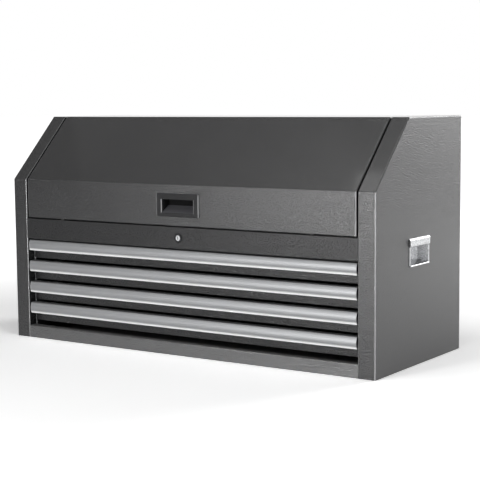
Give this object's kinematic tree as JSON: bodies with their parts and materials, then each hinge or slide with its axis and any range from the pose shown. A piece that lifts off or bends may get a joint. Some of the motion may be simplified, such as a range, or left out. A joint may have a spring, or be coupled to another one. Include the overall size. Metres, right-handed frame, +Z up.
{
  "type": "tool chest",
  "caption": "Steel top tool chest: sloped lift-up lid over an open till, full-width drawers with bright pulls on ball slides, flush side handles and a central lock.",
  "frame": {"origin": "centre of the footprint, on the surface that the chest stands on", "axes": "+X to the right seen from the front, +Y from the front to the back, +Z up"},
  "size_m": [1.0612, 0.435, 0.567],
  "materials": {
    "cabinet_paint": "charcoal hammertone powder coat",
    "drawer_paint": "charcoal powder coat, fine texture",
    "pull_aluminium": "brushed lengthwise, clear anodised",
    "chrome": "bright nickel-chrome plate",
    "zinc_steel": "bright zinc plate",
    "strut_black": "satin black enamel",
    "black_plastic": "moulded, fine texture",
    "rubber": "matt"
  },
  "bodies": {
    "cabinet": {"back_panel": "cabinet_paint", "base_panel": "cabinet_paint", "bottom_rail": "cabinet_paint", "header_panel": "cabinet_paint", "hinge_body_leaf": "zinc_steel", "hinge_pin": "zinc_steel", "left_handle": "chrome", "left_outer_slides": "zinc_steel", "left_side_panel": "cabinet_paint", "left_slide_posts": "cabinet_paint", "lid_bumpers": "rubber", "lock_bar_guides": "zinc_steel", "lock_barrel": "chrome", "lock_nut": "zinc_steel", "lock_shaft_hanger": "zinc_steel", "right_handle": "chrome", "right_outer_slides": "zinc_steel", "right_side_panel": "cabinet_paint", "right_slide_posts": "cabinet_paint", "strut_body_brackets": "zinc_steel", "till_floor": "cabinet_paint"},
    "lid": {"lid_shell": "cabinet_paint", "lid_stiffener": "cabinet_paint", "lid_pull_cup": "black_plastic", "lid_strike": "zinc_steel", "hinge_lid_leaf": "zinc_steel", "strut_lid_brackets": "zinc_steel"},
    "left_strut_cylinder": {"left_strut_tube": "strut_black"},
    "left_strut_piston": {"left_strut_rod": "chrome"},
    "right_strut_cylinder": {"right_strut_tube": "strut_black"},
    "right_strut_piston": {"right_strut_rod": "chrome"},
    "lock_core": {"lock_plug": "chrome", "lock_cam": "zinc_steel", "lock_shaft": "zinc_steel", "lock_crank": "zinc_steel"},
    "locking_bar": {"lock_bar": "zinc_steel"},
    "drawer_1": {"drawer_1_pan": "drawer_paint", "drawer_1_front": "drawer_paint", "drawer_1_pull": "pull_aluminium", "drawer_1_inner_slides": "zinc_steel"},
    "drawer_1_runners": {"drawer_1_middle_slides": "zinc_steel", "drawer_1_ball_cages": "zinc_steel"},
    "drawer_2": {"drawer_2_pan": "drawer_paint", "drawer_2_front": "drawer_paint", "drawer_2_pull": "pull_aluminium", "drawer_2_inner_slides": "zinc_steel"},
    "drawer_2_runners": {"drawer_2_middle_slides": "zinc_steel", "drawer_2_ball_cages": "zinc_steel"},
    "drawer_3": {"drawer_3_pan": "drawer_paint", "drawer_3_front": "drawer_paint", "drawer_3_pull": "pull_aluminium", "drawer_3_inner_slides": "zinc_steel"},
    "drawer_3_runners": {"drawer_3_middle_slides": "zinc_steel", "drawer_3_ball_cages": "zinc_steel"},
    "drawer_4": {"drawer_4_pan": "drawer_paint", "drawer_4_front": "drawer_paint", "drawer_4_pull": "pull_aluminium", "drawer_4_inner_slides": "zinc_steel"},
    "drawer_4_runners": {"drawer_4_middle_slides": "zinc_steel", "drawer_4_ball_cages": "zinc_steel"}
  },
  "joints": [
    {"name": "lid_hinge", "type": "hinge", "parent": "cabinet", "child": "lid", "pos_m": [0, 0.2095, 0.562], "axis": [-1, 0, 0], "range_deg": [0, 65]},
    {"name": "left_strut_pivot", "type": "hinge", "parent": "cabinet", "child": "left_strut_cylinder", "pos_m": [-0.4503, 0.198, 0.44255], "axis": [-1, 0, 0], "range_deg": [0, 32.51]},
    {"name": "left_strut_stroke", "type": "slide", "parent": "left_strut_cylinder", "child": "left_strut_piston", "axis": [0, -0.7009, 0.7133], "range_m": [0, 0.07462]},
    {"name": "right_strut_pivot", "type": "hinge", "parent": "cabinet", "child": "right_strut_cylinder", "pos_m": [0.4503, 0.198, 0.44255], "axis": [-1, 0, 0], "range_deg": [0, 32.51]},
    {"name": "right_strut_stroke", "type": "slide", "parent": "right_strut_cylinder", "child": "right_strut_piston", "axis": [0, -0.7009, 0.7133], "range_m": [0, 0.07462]},
    {"name": "drawer_1_slide", "type": "slide", "parent": "cabinet", "child": "drawer_1", "axis": [0, -1, 0], "range_m": [0, 0.34]},
    {"name": "drawer_1_runner_slide", "type": "slide", "parent": "cabinet", "child": "drawer_1_runners", "axis": [0, -1, 0], "range_m": [0, 0.17001]},
    {"name": "drawer_2_slide", "type": "slide", "parent": "cabinet", "child": "drawer_2", "axis": [0, -1, 0], "range_m": [0, 0.34]},
    {"name": "drawer_2_runner_slide", "type": "slide", "parent": "cabinet", "child": "drawer_2_runners", "axis": [0, -1, 0], "range_m": [0, 0.17001]},
    {"name": "drawer_3_slide", "type": "slide", "parent": "cabinet", "child": "drawer_3", "axis": [0, -1, 0], "range_m": [0, 0.34]},
    {"name": "drawer_3_runner_slide", "type": "slide", "parent": "cabinet", "child": "drawer_3_runners", "axis": [0, -1, 0], "range_m": [0, 0.17001]},
    {"name": "drawer_4_slide", "type": "slide", "parent": "cabinet", "child": "drawer_4", "axis": [0, -1, 0], "range_m": [0, 0.34]},
    {"name": "drawer_4_runner_slide", "type": "slide", "parent": "cabinet", "child": "drawer_4_runners", "axis": [0, -1, 0], "range_m": [0, 0.17001]},
    {"name": "lock_turn", "type": "hinge", "parent": "cabinet", "child": "lock_core", "pos_m": [0, -0.216, 0.2836], "axis": [0, 1, 0], "range_deg": [0, 90]},
    {"name": "locking_bar_lift", "type": "slide", "parent": "cabinet", "child": "locking_bar", "axis": [0, 0, 1], "range_m": [0, 0.01414]}
  ],
  "couplings": [
    {"joint": "left_strut_pivot", "follows": "lid_hinge", "ratio": 0.5},
    {"joint": "left_strut_stroke", "follows": "lid_hinge", "m_per_rad": 0.065778},
    {"joint": "right_strut_pivot", "follows": "lid_hinge", "ratio": 0.5},
    {"joint": "right_strut_stroke", "follows": "lid_hinge", "m_per_rad": 0.065778},
    {"joint": "drawer_1_runner_slide", "follows": "drawer_1_slide", "ratio": 0.5},
    {"joint": "drawer_2_runner_slide", "follows": "drawer_2_slide", "ratio": 0.5},
    {"joint": "drawer_3_runner_slide", "follows": "drawer_3_slide", "ratio": 0.5},
    {"joint": "drawer_4_runner_slide", "follows": "drawer_4_slide", "ratio": 0.5},
    {"joint": "lock_turn", "follows": "locking_bar_lift", "rad_per_m": 111.07}
  ]
}
